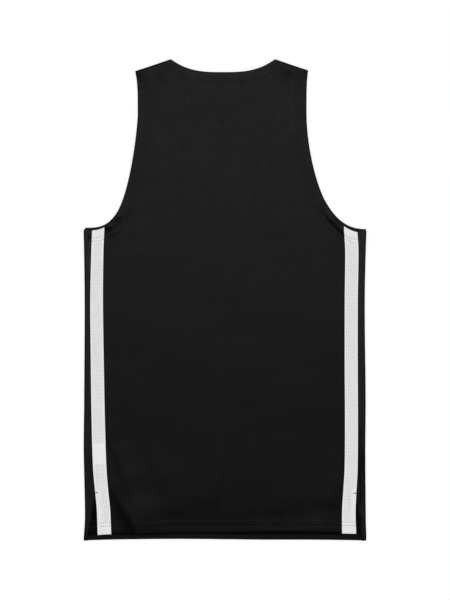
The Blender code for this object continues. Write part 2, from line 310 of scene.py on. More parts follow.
def strip_edge(side, y):
    """How far out the front's turned strip ends: at its seam, or at its free edge below the slit's top."""
    seam = stripe_edge(side, np.maximum(y, SLIT_TOP), 0) + SEAM_GAP
    down = np.clip((SLIT_TOP - y) / (SLIT_TOP + HALF_LENGTH), 0.0, 1.0)
    return seam + (side_fold(side, y) - side.flap - seam) * down


def hem(layer, x):
    return read(HEMS, layer, x, along="x")


def armhole_bottom(side, layer):
    return side.front_bottom if layer == "front" else side.back_bottom


def armhole_reach(side, layer):
    """The armhole's narrowest half width, and how far out and down from there its curve runs."""
    bottom = armhole_bottom(side, layer)
    narrow = side.narrow - ARMHOLE_INSET[layer]
    return narrow, side_fold(side, bottom) - narrow, HALF_LENGTH - NARROW_DOWN - bottom


def armhole_y(side, layer, out):
    """The height of the armhole's lower curve at a place out from the centre line."""
    narrow, reach, down = armhole_reach(side, layer)
    share = np.clip((out - narrow) / reach, 0.0, 1.0)
    fall = (1 - (1 - share) ** side.across_power) ** (1 / side.down_power)
    return HALF_LENGTH - NARROW_DOWN - down * fall


def armhole(side, layer, out_end):
    """The armhole's edge, from the shoulder corner down to its end at out_end."""
    narrow, reach, down = armhole_reach(side, layer)
    y_narrow = HALF_LENGTH - NARROW_DOWN
    share = np.linspace(1, 0, STRAP_POINTS)[:-1]
    strap_out = narrow + (side.corner - narrow) * share ** STRAP_FLARE_POWER
    strap_y = y_narrow + share * (HALF_LENGTH - side.corner_drop - y_narrow)
    angle = np.linspace(0, pi / 2, ARMHOLE_POINTS)[:-1]
    out = narrow + reach * (1 - np.cos(angle) ** (2 / side.across_power))
    y = y_narrow - down * np.sin(angle) ** (2 / side.down_power)
    keep = out < out_end
    out = np.concatenate([strap_out, out[keep], [out_end]])
    y = np.concatenate([strap_y, y[keep], [armhole_y(side, layer, out_end)]])
    return evenly(np.column_stack([side.sign * out, y]), EDGE_STEP)


def neckline(layer):
    """The neck's edge from its left point to its right one."""
    middle = (RIGHT.neck - LEFT.neck) / 2
    half = (RIGHT.neck + LEFT.neck) / 2
    t = np.linspace(-1, 1, NECK_POINTS)
    y = HALF_LENGTH - NECK_DEPTH[layer] * (1 - np.abs(t) ** NECK_POWER[layer])
    return evenly(np.column_stack([middle + t * half, y]), EDGE_STEP)


def shoulder(side):
    """The neck point, the shoulder's outer corner and the unit direction from their line into the shirt."""
    neck = np.array((side.sign * side.neck, HALF_LENGTH))
    corner = np.array((side.sign * side.corner, HALF_LENGTH - side.corner_drop))
    run_x, run_y = (corner - neck) / np.hypot(*(corner - neck))
    return neck, corner, np.array((side.sign * run_y, -side.sign * run_x))


def crease_height(crease, x, y):
    """A crease's height at each place."""
    run_x = crease.x1 - crease.x0
    run_y = crease.y1 - crease.y0
    length = np.hypot(run_x, run_y)
    along = ((x - crease.x0) * run_x + (y - crease.y0) * run_y) / length ** 2
    t = np.clip(along, 0, 1)
    across = ((y - crease.y0) * run_x - (x - crease.x0) * run_y) / length - crease.bend * 4 * t * (1 - t)
    width = np.where(across > 0, crease.left, crease.right) * (1 + crease.flare * (t - FULL_WIDTH_AT))
    beyond = (along - t) * length / (CREASE_RUN_OUT * (crease.left + crease.right))
    uneven = 1 + CREASE_UNEVEN * np.sin(2 * pi * (CREASE_WAVES * t + crease.phase))
    taper = CREASE_ENDS + (1 - CREASE_ENDS) * np.sin(pi * t) ** 0.8
    return crease.height * taper * uneven * np.exp(-(across / width) ** 2 - beyond ** 2)


def swell(x, y):
    """The faint unevenness of cloth that lies flat."""
    wide = np.sin(x / 31 + y / 47 + 0.4) * np.sin(y / 38 - x / 83 + 1.1)
    fine = np.sin(x / 13 - y / 19 + 2.0) * np.sin(y / 11 + x / 23 + 0.3)
    return SWELL_WIDE * wide + SWELL_FINE * fine


def top(x, y):
    """The height of the upper layer's outer face."""
    from_fold = np.where(x > 0, fold_start(RIGHT, y), fold_start(LEFT, y)) - np.abs(x)
    rise = (2 * SIDE_RADIUS - LAYER_TOP) * (1 - smooth(from_fold / SIDE_SLOPE))
    return LAYER_TOP + rise + sum(crease_height(crease, x, y) for crease in CREASES) + swell(x, y)


def under(x, y):
    """How far the underside's outer face stands off the floor."""
    lift = sum(crease_height(crease, x, y) for crease in UNDER_CREASES)
    return UNDER_LIFT + lift * smooth((lift - LEAST_LIFT) / LIFT_START)


# ---------------------------------------------------------------- from the pattern plane to the form

def turn_shoulder(x, y, depth):
    """Bends cloth round the shoulders' edges: the new x and y, and how far the cloth drops there."""
    new_x = np.array(x, float)
    new_y = np.array(y, float)
    drop = np.zeros(np.shape(x))
    for side in SIDES:
        neck, _, inward = shoulder(side)
        reach = (x - neck[0]) * inward[0] + (y - neck[1]) * inward[1]
        reach = np.where(x * side.sign > 0, reach, SHOULDER_RADIUS)
        swing = np.arcsin(np.clip(1 - reach / SHOULDER_RADIUS, 0, 1))
        bent = swing > 0
        shift = SHOULDER_RADIUS - (SHOULDER_RADIUS - depth) * np.sin(swing) - reach
        new_x = np.where(bent, new_x + inward[0] * shift, new_x)
        new_y = np.where(bent, new_y + inward[1] * shift, new_y)
        sunk = (SHOULDER_RADIUS - depth) * (1 - np.cos(swing))
        drop = np.where(bent, sunk, drop)
    return new_x, new_y, drop


def turn_height(x, y):
    """How much further than a round turn each layer goes at the shoulders, to meet the other."""
    return (top(x, y) - under(x, y) - SEAM_GAP) / (2 * SHOULDER_RADIUS)


def lower_face(x, y):
    """The height of the lower layer's inner face, away from the side folds."""
    _, thick = finish_of(FRONT_KINDS, x, y, BLACK_GROOVE)
    return under(x, y) + thick


def place_upper(u, v, depth):
    """Where a place of the upper layer's pattern lies, at a depth below its outer face."""
    x, y, drop = turn_shoulder(u, v, depth)
    z = np.maximum(top(u, v) - depth, lower_face(u, v) + LAYER_GAP)
    return np.column_stack([x, y, z - drop * turn_height(u, v)])


def place_front(u, v, depth):
    """Where a place of the front's pattern lies: on the floor, round a side fold or on top beside it."""
    x, y, drop = turn_shoulder(u, v, depth)
    z = under(u, v) + depth + drop * turn_height(u, v)
    for side in SIDES:
        start = fold_start(side, v)
        past = side.sign * u - start
        swing = np.clip(past / SIDE_RADIUS, 0, pi)
        beyond = np.maximum(past - pi * SIDE_RADIUS, 0)
        half = top(side.sign * start, v) / 2
        lift = under(side.sign * start, v) * (1 + np.cos(swing)) / 2
        round_x = side.sign * (start + (SIDE_RADIUS - depth) * np.sin(swing))
        round_z = half - (half - depth) * np.cos(swing) + lift
        flat_x = side.sign * (start - beyond)
        flat_z = np.maximum(top(flat_x, v) - depth, lower_face(flat_x, v) + LAYER_GAP)
        x = np.where(past > 0, np.where(beyond > 0, flat_x, round_x), x)
        z = np.where(past > 0, np.where(beyond > 0, flat_z, round_z), z)
    return np.column_stack([x, y, z])


# ---------------------------------------------------------------- the pieces' edges in their pattern planes

# An edge of a piece: its kind, its line, and how far the lines that follow it run on past its two ends.
Edge = namedtuple("Edge", "kind line before after", defaults=(PAST_END, PAST_END))


def front_reach(side, v):
    """How far out the front's pattern goes, round the fold and back to the end of its strip."""
    start = fold_start(side, v)
    return start + pi * SIDE_RADIUS + start - strip_edge(side, v)


def front_side(side):
    """The front's side edge, from the hem up: the free edge beside the slit and the seam above it."""
    y_seam = armhole_y(side, "back", strip_edge(side, armhole_bottom(side, "back")))
    y_hem = hem("front", side.sign * 300)
    slit_v = np.linspace(y_hem, SLIT_TOP, round((SLIT_TOP - y_hem) / EDGE_STEP) + 1)
    seam_v = np.linspace(SLIT_TOP, y_seam, round((y_seam - SLIT_TOP) / EDGE_STEP) + 1)
    return [np.column_stack([side.sign * front_reach(side, v), v]) for v in (slit_v, seam_v)]


def front_armhole(side, y_seam):
    """The front's armhole edge, from its strip's seam round the fold and up to the shoulder."""
    bottom = armhole_bottom(side, "front")
    start = fold_start(side, bottom)
    reach = front_reach(side, y_seam)
    turned = np.array([(side.sign * reach, y_seam), (side.sign * (start + pi * SIDE_RADIUS), bottom)])
    flat = armhole(side, "front", start)[::-1]
    return evenly(np.concatenate([turned, flat]), EDGE_STEP)


def going_round(left_edges, middle_edges, right_edges):
    """All of a panel's edges, clockwise from the left hem corner."""
    back_down = [Edge(e.kind, e.line[::-1], e.after, e.before) for e in right_edges[::-1]]
    return left_edges + middle_edges + back_down


def front_edges():
    halves = []
    for side in SIDES:
        slit, seam = front_side(side)
        arm = front_armhole(side, seam[-1, 1])
        neck, corner, _ = shoulder(side)
        strap = evenly([corner, neck], EDGE_STEP)
        halves.append([Edge("slit", slit, PAST_END, 0), Edge("seam", seam, 0, PAST_END), Edge("arm", arm),
                       Edge("shoulder", strap)])
    u = np.linspace(halves[1][0].line[0, 0], halves[0][0].line[0, 0], HEM_POINTS)
    base = evenly(np.column_stack([u, hem("front", u)]), EDGE_STEP)
    return going_round(halves[0], [Edge("neck", neckline("front"))], halves[1]) + [Edge("hem", base)]


def back_edges():
    halves = []
    for side in SIDES:
        out_top = stripe_edge(side, armhole_bottom(side, "front"), 1) - SEAM_GAP
        y_top = armhole_y(side, "back", out_top)
        y_hem = hem("back", side.sign * (stripe_edge(side, -HALF_LENGTH, 1) - SEAM_GAP))
        v = np.linspace(y_hem, y_top, round((y_top - y_hem) / EDGE_STEP) + 1)
        out = stripe_edge(side, v, 1) - SEAM_GAP
        arm = armhole(side, "back", out[-1])[::-1]
        neck, corner, _ = shoulder(side)
        strap = evenly([corner, neck], EDGE_STEP)
        seam = np.column_stack([side.sign * out, v])
        halves.append([Edge("seam", seam), Edge("arm", arm), Edge("shoulder", strap)])
    u = np.linspace(halves[1][0].line[0, 0], halves[0][0].line[0, 0], HEM_POINTS)
    base = evenly(np.column_stack([u, hem("back", u)]), EDGE_STEP)
    return going_round(halves[0], [Edge("neck", neckline("back"))], halves[1]) + [Edge("hem", base)]


def stripe_edges(side):
    """A stripe's edges, clockwise. Its outer edge is free below the slit's top."""
    def across(share, y_from, y_to):
        v = np.linspace(y_from, y_to, round(abs(y_to - y_from) / EDGE_STEP) + 1)
        return np.column_stack([side.sign * stripe_edge(side, v, share), v])

    ends = []
    for share in (0, 1):
        out_hem = stripe_edge(side, -HALF_LENGTH, share)
        out_top = stripe_edge(side, armhole_bottom(side, "back"), share)
        ends.append((hem("back", side.sign * out_hem), armhole_y(side, "back", out_top) - STRIPE_SHORT))
    slit = Edge("slit", across(0, ends[0][0], SLIT_TOP), PAST_END, 0)
    outer = Edge("seam", across(0, SLIT_TOP, ends[0][1]), 0, PAST_END)
    inner = Edge("seam", across(1, ends[1][0], ends[1][1]))
    out = np.linspace(abs(outer.line[-1, 0]), abs(inner.line[-1, 0]), STRIPE_END_POINTS)
    top_y = armhole_y(side, "back", out) - STRIPE_SHORT
    arm = Edge("arm", evenly(np.column_stack([side.sign * out, top_y]), EDGE_STEP))
    x = np.linspace(inner.line[0, 0], slit.line[0, 0], STRIPE_END_POINTS)
    base = Edge("hem", evenly(np.column_stack([x, hem("back", x)]), EDGE_STEP))
    if side.sign < 0:
        return going_round([slit, outer], [arm], [inner]) + [base]
    back = [Edge(e.kind, e.line[::-1], e.after, e.before) for e in (arm, base)]
    return going_round([inner], [back[0]], [slit, outer]) + [back[1]]


# ---------------------------------------------------------------- the cloth's finish along its edges

def run_on(edge):
    """An edge's line, run on straight past its ends."""
    line = edge.line
    parts = [line]
    if edge.before:
        away = (line[0] - line[1]) / np.hypot(*(line[0] - line[1]))
        parts.insert(0, [line[0] + away * edge.before])
    if edge.after:
        away = (line[-1] - line[-2]) / np.hypot(*(line[-1] - line[-2]))
        parts.append([line[-1] + away * edge.after])
    return np.concatenate(parts)


def inside_by(edge, amount):
    """The line that follows an edge at a distance inside it."""
    line = evenly(run_on(edge), EDGE_STEP)
    run = np.gradient(line, axis=0)
    run /= np.hypot(*run.T)[:, None]
    return line + amount * np.column_stack([run[:, 1], -run[:, 0]])


def steps_in(kind):
    """How far inside an edge the lines of points that follow it lie."""
    if kind == "shoulder":
        return (0.06, 0.2, 0.42, 0.7, 1.05, 1.44, 2.2, 3.6, 5.6)
    if kind == "seam":
        return (0.3, 0.7, 1.2, 1.9, 3.2, 4.8, 6.2, 7.4, 9.4)
    finish = FINISHES[kind]
    steps = [0.25, 0.7, 1.5, 3.0]
    steps += list(np.arange(5.2, finish.rows[0] - 2.2, 2.6))
    for row in finish.rows:
        steps += [row - 1.1, row - 0.5, row, row + 0.5, row + 1.1]
    last = finish.turned
    steps += [last - 0.2, last + 0.6, last + 1.6, last + 3.6]
    kept = []
    for step in sorted(steps):
        if not kept or step - kept[-1] > 0.3:
            kept.append(step)
    return kept


def by_kind(edges):
    kinds = {}
    for edge in edges:
        kinds.setdefault(edge.kind, []).append(run_on(edge))
    return kinds


def away_from(lines, u, v):
    """How far each place is from the nearest of some lines."""
    return np.min([distance(line, u, v) for line in lines], axis=0)


def finish_of(kinds, u, v, groove):
    """How far the finish lifts the cloth at each place, and how thick it makes it."""
    rise = np.zeros(np.shape(u))
    sink = np.zeros(np.shape(u))
    thick = np.full(np.shape(u), CLOTH)
    for kind, lines in kinds.items():
        if kind == "shoulder":
            continue
        away = away_from(lines, u, v)
        if kind == "seam":
            doubled = 1 - smooth((away - SEAM_TURNED) / SEAM_TURNED_END)
            rise = np.maximum(rise, SEAM_RISE * smooth(away / SEAM_RISE_START) * doubled)
            sink += SEAM_ROLL * (1 - smooth(away / SEAM_ROLL_WIDTH)) ** ROLL_POWER
            continue
        finish = FINISHES[kind]
        doubled = 1 - smooth((away - finish.turned) / TURNED_END)
        full = 0.75 + 0.35 * np.sin(pi * np.clip(away / finish.rows[0], 0, 1))
        rise = np.maximum(rise, HEM_RISE * doubled * full)
        thick = np.maximum(thick, CLOTH + (HEM_CLOTH - CLOTH) * doubled)
        roll, width = EDGE_ROLL[kind]
        sink += roll * (1 - smooth(away / width)) ** ROLL_POWER
        for row in finish.rows:
            pull = 1 + 0.25 * np.sin(u / 2.3 + v / 1.9 + row)
            sink += groove * pull * np.exp(-((away - row) / GROOVE_WIDTH) ** 2)
        # small puckers on both sides of the rows
        puckers = np.sin(u / 1.9 + 0.7 * np.sin(v / 5.1)) * np.sin(v / 1.7 + 0.8 * np.sin(u / 4.3))
        near_rows = np.exp(-((away - np.mean(finish.rows)) / 5.0) ** 2)
        sink += 0.15 * groove * puckers * near_rows
    return rise - sink, thick


# The front's finished edges, which the layer above lies on.
FRONT_EDGES = front_edges()
FRONT_KINDS = by_kind([edge for edge in FRONT_EDGES if edge.kind in FINISHES])


# ---------------------------------------------------------------- meshes

def make_object(name, corners, faces, material):
    mesh = bpy.data.meshes.new(name)
    mesh.from_pydata((np.asarray(corners) * MM).tolist(), [], np.asarray(faces).tolist())
    mesh.shade_smooth()
    mesh.materials.append(material)
    piece = bpy.data.objects.new(name, mesh)
    bpy.context.scene.collection.objects.link(piece)
    return piece


class Pattern:
    """The points, lines and holes that a flat piece is cut into triangles from."""

    def __init__(self, outline):
        self.points = [tuple(p) for p in outline]
        self.round = list(range(len(outline)))
        self.lines = []
        self.sunk = [0.0] * len(outline)
        self.hole = [-1] * len(outline)

    def add(self, points, closed=False, joined=True, sunk=0.0, hole=-1):
        first = len(self.points)
        self.points += [tuple(p) for p in points]
        self.sunk += [sunk] * len(points)
        self.hole += [hole] * len(points)
        if joined:
            self.lines += [(first + i, first + i + 1) for i in range(len(points) - 1)]
        if closed:
            self.lines.append((first + len(points) - 1, first))

    def cut(self):
        """The triangles inside the outline and outside the holes: places, faces and how far each sinks."""
        inside_only = 1
        counter_clockwise = self.round[::-1]
        result = delaunay_2d_cdt(self.points, self.lines, [counter_clockwise], inside_only, 1e-4)
        places = np.array(result[0])
        faces = np.array(result[2])
        sunk = np.array([self.sunk[origin[0]] if origin else 0.0 for origin in result[3]])
        hole = np.array([self.hole[origin[0]] if origin else -1 for origin in result[3]])
        holes = hole[faces]
        through = (holes[:, 0] >= 0) & (holes[:, 0] == holes[:, 1]) & (holes[:, 0] == holes[:, 2])
        in_outline = np.array([len(origin) > 0 for origin in result[5]])
        faces = faces[in_outline & ~through]
        used, faces = np.unique(faces, return_inverse=True)
        return places[used], faces.reshape(-1, 3), sunk[used]


def outline_of(edges):
    return np.concatenate([edge.line[:-1] for edge in edges])


def follow_edges(pattern, edges):
    for edge in edges:
        for step in steps_in(edge.kind):
            pattern.add(inside_by(edge, step))


def fill(pattern, edges, kinds):
    """Adds a staggered grid of points in the middle of a panel."""
    low = outline_of(edges).min(axis=0)
    high = outline_of(edges).max(axis=0)
    rows = np.arange(low[1], high[1], PITCH * sqrt(3) / 2)
    columns = np.arange(low[0], high[0], PITCH)
    x, y = np.meshgrid(columns, rows)
    x = (x + PITCH / 2 * (np.arange(len(rows)) % 2)[:, None]).ravel()
    y = y.ravel()
    clear = np.ones(len(x), bool)
    for kind, lines in kinds.items():
        clear &= away_from(lines, x, y) > steps_in(kind)[-1] + PITCH / 2
    pattern.add(np.column_stack([x[clear], y[clear]]), joined=False)


def sew_up(name, pattern, kinds, place, cloth, faces_up=True):
    """Makes the thin closed shell of a piece: its outer face, its inner face and the edge between them."""
    places, faces, sunk = pattern.cut()
    u, v = places.T
    lift, thick = finish_of(kinds, u, v, cloth.groove)
    outer = place(u, v, sunk - lift)
    inner = place(u, v, thick)
    sides = np.concatenate([faces[:, [0, 1]], faces[:, [1, 2]], faces[:, [2, 0]]])
    count = len(places)
    key = sides[:, 0] * count + sides[:, 1]
    back = sides[:, 1] * count + sides[:, 0]
    rim = sides[~np.isin(key, back)]
    wall = np.concatenate([np.column_stack([rim[:, 1], rim[:, 0], rim[:, 0] + count]),
                           np.column_stack([rim[:, 1], rim[:, 0] + count, rim[:, 1] + count])])
    all_faces = np.concatenate([faces, faces[:, ::-1] + count, wall])
    if not faces_up:
        all_faces = all_faces[:, ::-1]
    piece = make_object(name, np.concatenate([outer, inner]), all_faces, cloth.outside)
    piece.data.materials.append(cloth.inside)
    piece.data.materials.append(cloth.band)
    free = [line for kind, lines in kinds.items() if kind in FINISHES for line in lines]
    middle = places[faces].mean(axis=1)
    # Inner faces take cloth.inside, which for the black pieces is a duller copy that paints shade, and
    # cloth.band within EDGE_BAND of a free edge.
    slots = np.zeros(len(all_faces), np.int32)
    slots[len(faces):2 * len(faces)] = 1 + (away_from(free, *middle.T) < EDGE_BAND)
    piece.data.polygons.foreach_set("material_index", slots)
    return piece


def make_stitches(name, lines, kinds, place, cloth, keep, material, radius=THREAD_RADIUS):
    """Lays short threads along lines of the pattern, each with its ends pulled into the cloth."""
    heads = []
    tails = []
    for line in lines:
        run = np.concatenate([[0], np.cumsum(np.hypot(*np.diff(line, axis=0).T))])
        starts = np.arange(STITCH_PITCH / 2, run[-1] - STITCH_PITCH, STITCH_PITCH)
        for store, shift in ((heads, 0.0), (tails, STITCH_LENGTH)):
            store.append(np.column_stack([np.interp(starts + shift, run, line[:, i]) for i in (0, 1)]))
    heads = np.concatenate(heads)
    tails = np.concatenate(tails)
    kept = keep(*heads.T) & keep(*tails.T)
    return make_threads(name, heads[kept], tails[kept], kinds, place, cloth, material, radius)


def make_threads(name, heads, tails, kinds, place, cloth, material, radius):
    """One mesh of short round threads that lie on the cloth from heads to tails."""
    ring = THREAD_SIDES
    rings = []
    for share, above, size in THREAD_FORM:
        u, v = (heads + (tails - heads) * share).T
        lift, _ = finish_of(kinds, u, v, cloth.groove)
        centre = place(u, v, -lift - above)
        out = place(u, v, -lift - above - 0.1) - centre
        out /= np.linalg.norm(out, axis=1)[:, None]
        ahead = place(*(heads + (tails - heads) * (share + 0.01)).T, -lift - above) - centre
        aside = np.cross(ahead, out)
        aside /= np.linalg.norm(aside, axis=1)[:, None]
        for i in range(ring):
            angle = 2 * pi * i / ring
            rings.append(centre + radius * size * (np.cos(angle) * out + np.sin(angle) * aside))
    corners = np.stack(rings, axis=1)
    count = corners.shape[1]
    one = []
    for section in range(len(THREAD_FORM) - 1):
        for i in range(ring):
            a = section * ring + i
            b = section * ring + (i + 1) % ring
            one += [(a, b, b + ring), (a, b + ring, a + ring)]
    one += [(0, i + 1, i) for i in range(1, ring - 1)]
    one += [(count - ring, count - ring + i, count - ring + i + 1) for i in range(1, ring - 1)]
    faces = (np.array(one)[None] + count * np.arange(len(corners))[:, None, None]).reshape(-1, 3)
    return make_object(name, corners.reshape(-1, 3), faces, material)


# ---------------------------------------------------------------- materials

class Look:
    """A Principled material that is built up node by node."""

    def __init__(self, name, colour, roughness, **settings):
        self.material = bpy.data.materials.new(name)
        self.material.use_nodes = True
        self.tree = self.material.node_tree
        self.shader = self.tree.nodes["Principled BSDF"]
        self.shader.inputs["Base Color"].default_value = (*colour, 1)
        self.shader.inputs["Roughness"].default_value = roughness
        for socket, value in settings.items():
            self.shader.inputs[socket.replace("_", " ")].default_value = value
        coordinates = self.tree.nodes.new("ShaderNodeTexCoord")
        self.place = self.math("VECTOR", "SCALE", coordinates.outputs["Object"], scale=1 / MM)

    def math(self, kind, operation, *values, scale=None):
        node = self.tree.nodes.new("ShaderNodeVectorMath" if kind == "VECTOR" else "ShaderNodeMath")
        node.operation = operation
        for socket, value in zip(node.inputs, values):
            self.set(socket, value)
        if scale is not None:
            node.inputs["Scale"].default_value = scale
        return node.outputs[0]

    def set(self, socket, value):
        if isinstance(value, bpy.types.NodeSocket):
            self.tree.links.new(value, socket)
        else:
            socket.default_value = value

    def do(self, operation, *values):
        return self.math("VALUE", operation, *values)

    def axes(self):
        node = self.tree.nodes.new("ShaderNodeSeparateXYZ")
        self.set(node.inputs[0], self.place)
        return node.outputs

    def noise(self, size, detail=2.0, stretch=(1, 1, 1)):
        """Noise of a size in millimetres."""
        scaled = self.math("VECTOR", "MULTIPLY", self.place, tuple(s / size for s in stretch))
        node = self.tree.nodes.new("ShaderNodeTexNoise")
        self.set(node.inputs["Vector"], scaled)
        node.inputs["Scale"].default_value = 1.0
        node.inputs["Detail"].default_value = detail
        return node.outputs["Fac"]

    def span(self, value, low, high, start=0.3, end=0.7):
        """The value from start to end, spread from low to high."""
        node = self.tree.nodes.new("ShaderNodeMapRange")
        for socket, given in zip(node.inputs, (value, start, end, low, high)):
            self.set(socket, given)
        return node.outputs[0]

    def mix(self, factor, first, second):
        node = self.tree.nodes.new("ShaderNodeMix")
        node.data_type = "RGBA"
        self.set(node.inputs[0], factor)
        self.set(node.inputs[6], first)
        self.set(node.inputs[7], second)
        return node.outputs[2]

    def bump(self, height, depth, onto=None):
        """A bump of a depth in millimetres, on top of another one."""
        node = self.tree.nodes.new("ShaderNodeBump")
        node.inputs["Strength"].default_value = 1.0
        node.inputs["Distance"].default_value = depth * MM
        self.set(node.inputs["Height"], height)
        if onto is not None:
            self.set(node.inputs["Normal"], onto)
        return node.outputs[0]

    def finish(self, colour, roughness, normal):
        self.set(self.shader.inputs["Base Color"], colour)
        self.set(self.shader.inputs["Roughness"], roughness)
        self.set(self.shader.inputs["Normal"], normal)
        return self.material


def knit_height(look, wale, course):
    """Rows of small V-shaped loops, a wale wide and a course high."""
    x, y, _ = look.axes()
    across = look.do("FRACT", look.do("DIVIDE", x, wale))
    from_middle = look.do("MULTIPLY", look.do("ABSOLUTE", look.do("SUBTRACT", across, 0.5)), 2.0)
    rib = look.do("SUBTRACT", 1.0, look.do("POWER", from_middle, 2.0))
    slant = look.do("ADD", look.do("DIVIDE", y, course), look.do("MULTIPLY", from_middle, 0.5))
    loop = look.do("ABSOLUTE", look.do("SINE", look.do("MULTIPLY", slant, pi)))
    return look.do("MULTIPLY", rib, look.do("ADD", 0.45, look.do("MULTIPLY", loop, 0.55)))


def black_knit(name, gloss, shade_low, shade_high):
    look = Look(name, (shade_low,) * 3, 0.39, Specular_IOR_Level=gloss, Sheen_Weight=0.25,
                Sheen_Roughness=0.3)
    loops = knit_height(look, 1.1, 0.9)
    cloudy = look.noise(26, 3.0)
    streaky = look.noise(5, 3.0, (1, 0.12, 1))
    worn = look.span(look.do("ADD", cloudy, look.do("MULTIPLY", streaky, 0.5)), 0.0, 1.0, 0.5, 1.0)
    shade = look.mix(worn, (*(shade_low,) * 3, 1), (*(shade_high,) * 3, 1))
    # The hollows between the loops are painted darker than their tops: painted shade.
    colour = look.mix(loops, look.mix(0.5, shade, (0, 0, 0, 1)), shade)
    roughness = look.span(look.noise(9, 2.0), 0.37, 0.41)
    fuzz = look.bump(look.noise(0.35, 3.0), 0.015)
    return look.finish(colour, roughness, look.bump(loops, 0.03, fuzz))


def white_mesh():
    look = Look("white_mesh", (0.78, 0.78, 0.785), 0.7, Specular_IOR_Level=0.3, Sheen_Weight=0.05,
                Sheen_Roughness=0.5)
    loops = knit_height(look, 0.5, 0.44)
    worn = look.span(look.noise(18, 3.0), 0.0, 1.0)
    shade = look.mix(worn, (0.755, 0.755, 0.76, 1), (0.785, 0.785, 0.79, 1))
    # The hollows between the loops are painted a darker grey: painted shade.
    colour = look.mix(look.span(loops, 0.0, 1.0, 0.0, 0.5), (0.66, 0.66, 0.67, 1), shade)
    roughness = look.span(look.noise(6, 2.0), 0.62, 0.78)
    fuzz = look.bump(look.noise(0.3, 3.0), 0.04)
    return look.finish(colour, roughness, look.bump(loops, 0.06, fuzz))


def thread(name, gloss, roughness, dark, light):
    look = Look(name, light, roughness, Specular_IOR_Level=gloss)
    x, y, _ = look.axes()
    twist = look.do("SINE", look.do("MULTIPLY", look.do("ADD", x, y), 14.0))
    ply = look.span(twist, 0.0, 1.0, -1.0, 1.0)
    # The grooves between the plies are painted darker: painted shade.
    colour = look.mix(ply, (*dark, 1), (*light, 1))
    uneven = look.span(look.noise(2, 2.0), roughness - 0.04, roughness + 0.04)
    return look.finish(colour, uneven, look.bump(ply, 0.02))


def floor_look():
    look = Look("pale_floor", (0.93, 0.93, 0.93), 0.8, Specular_IOR_Level=0.1)
    cloudy = look.span(look.noise(160, 3.0), 0.0, 1.0)
    colour = look.mix(cloudy, (0.925, 0.925, 0.925, 1), (0.935, 0.935, 0.935, 1))
    roughness = look.span(look.noise(40, 2.0), 0.76, 0.86)
    return look.finish(colour, roughness, look.bump(look.noise(1.5, 2.0), 0.01))


# A piece's cloth: the materials of its two faces and of the inner one along a free edge, and how deep its
# stitch rows pull it in.
Cloth = namedtuple("Cloth", "outside inside band groove")
# A duller copy of the black knit for the inner faces: partly the cloth's matt wrong side, partly painted
# shade in the slit wedges and in the line under the back's hem.
DULL_INSIDE_PAINTED_SHADE = black_knit("black_knit_inside_painted_shade", 0.012, 0.0008, 0.0012)
BLACK_THREAD = thread("black_thread", 0.06, 0.44, (0.0006, 0.0006, 0.0006), (0.0016, 0.0016, 0.0016))
# The white thread is painted light grey: painted shade of the groove it lies in.
WHITE_THREAD_PAINTED_SHADE = thread("white_thread_painted_shade", 0.3, 0.55, (0.4, 0.4, 0.405), (0.55, 0.55, 0.555))
WHITE_MESH = white_mesh()
BLACK_KNIT = black_knit("black_knit", 0.040, 0.0008, 0.0012)
# A lighter, glossier copy of the black knit for the front's outer face: painted sheen on the strips beside
# the stripes and on the side folds.
FRONT_KNIT_PAINTED_SHEEN = black_knit("black_knit_front_painted_sheen", 0.06, 0.0012, 0.0018)
FRONT_CLOTH = Cloth(FRONT_KNIT_PAINTED_SHEEN, DULL_INSIDE_PAINTED_SHADE, BLACK_KNIT, BLACK_GROOVE)
BACK_CLOTH = Cloth(BLACK_KNIT, DULL_INSIDE_PAINTED_SHADE, BLACK_KNIT, BLACK_GROOVE)
MESH_CLOTH = Cloth(WHITE_MESH, WHITE_MESH, WHITE_MESH, WHITE_GROOVE)


# ---------------------------------------------------------------- the pieces

def stitch_lines(edges, kinds):
    """The stitch rows that follow a piece's free edges of some kinds."""
    lines = []
    for edge in edges:
        if edge.kind in kinds:
            lines += [inside_by(edge, row) for row in FINISHES[edge.kind].rows]
    return lines


def on_piece(edges, margin):
    """A test for places that lie on a piece, at least a margin from its edge."""
    outline = outline_of(edges)
    ahead = np.roll(outline, -1, axis=0)

    def test(u, v):
        crossings = np.zeros(np.shape(u), int)
        for (x0, y0), (x1, y1) in zip(outline, ahead):
            if y0 != y1:
                straddles = (y0 > v) != (y1 > v)
                crossings += straddles & (u < x0 + (v - y0) * (x1 - x0) / (y1 - y0))
        return (crossings % 2 == 1) & (distance(np.concatenate([outline, outline[:1]]), u, v) > margin)

    return test


def make_panel(name, edges, place, cloth, faces_up, extra_lines=()):
    kinds = by_kind(edges)
    pattern = Pattern(outline_of(edges))
    follow_edges(pattern, edges)
    for line in extra_lines:
        pattern.add(line)
    fill(pattern, edges, kinds)
    panel = sew_up(name, pattern, kinds, place, cloth, faces_up)
    stitches = make_stitches(name + "_stitching", stitch_lines(edges, FINISHES), kinds, place, cloth,
                             on_piece(edges, STITCH_CLEAR), BLACK_THREAD)
    return panel, stitches


def roll_lines():
    """Lines up the front's pattern where it turns round the side folds."""
    lines = []
    for side in SIDES:
        v = np.arange(-HALF_LENGTH - 2, side.front_bottom + 3, EDGE_STEP)
        for step in range(-1, ROLL_STEPS + 2):
            past = pi * SIDE_RADIUS * step / ROLL_STEPS
            lines.append(np.column_stack([side.sign * (fold_start(side, v) + past), v]))
    return lines


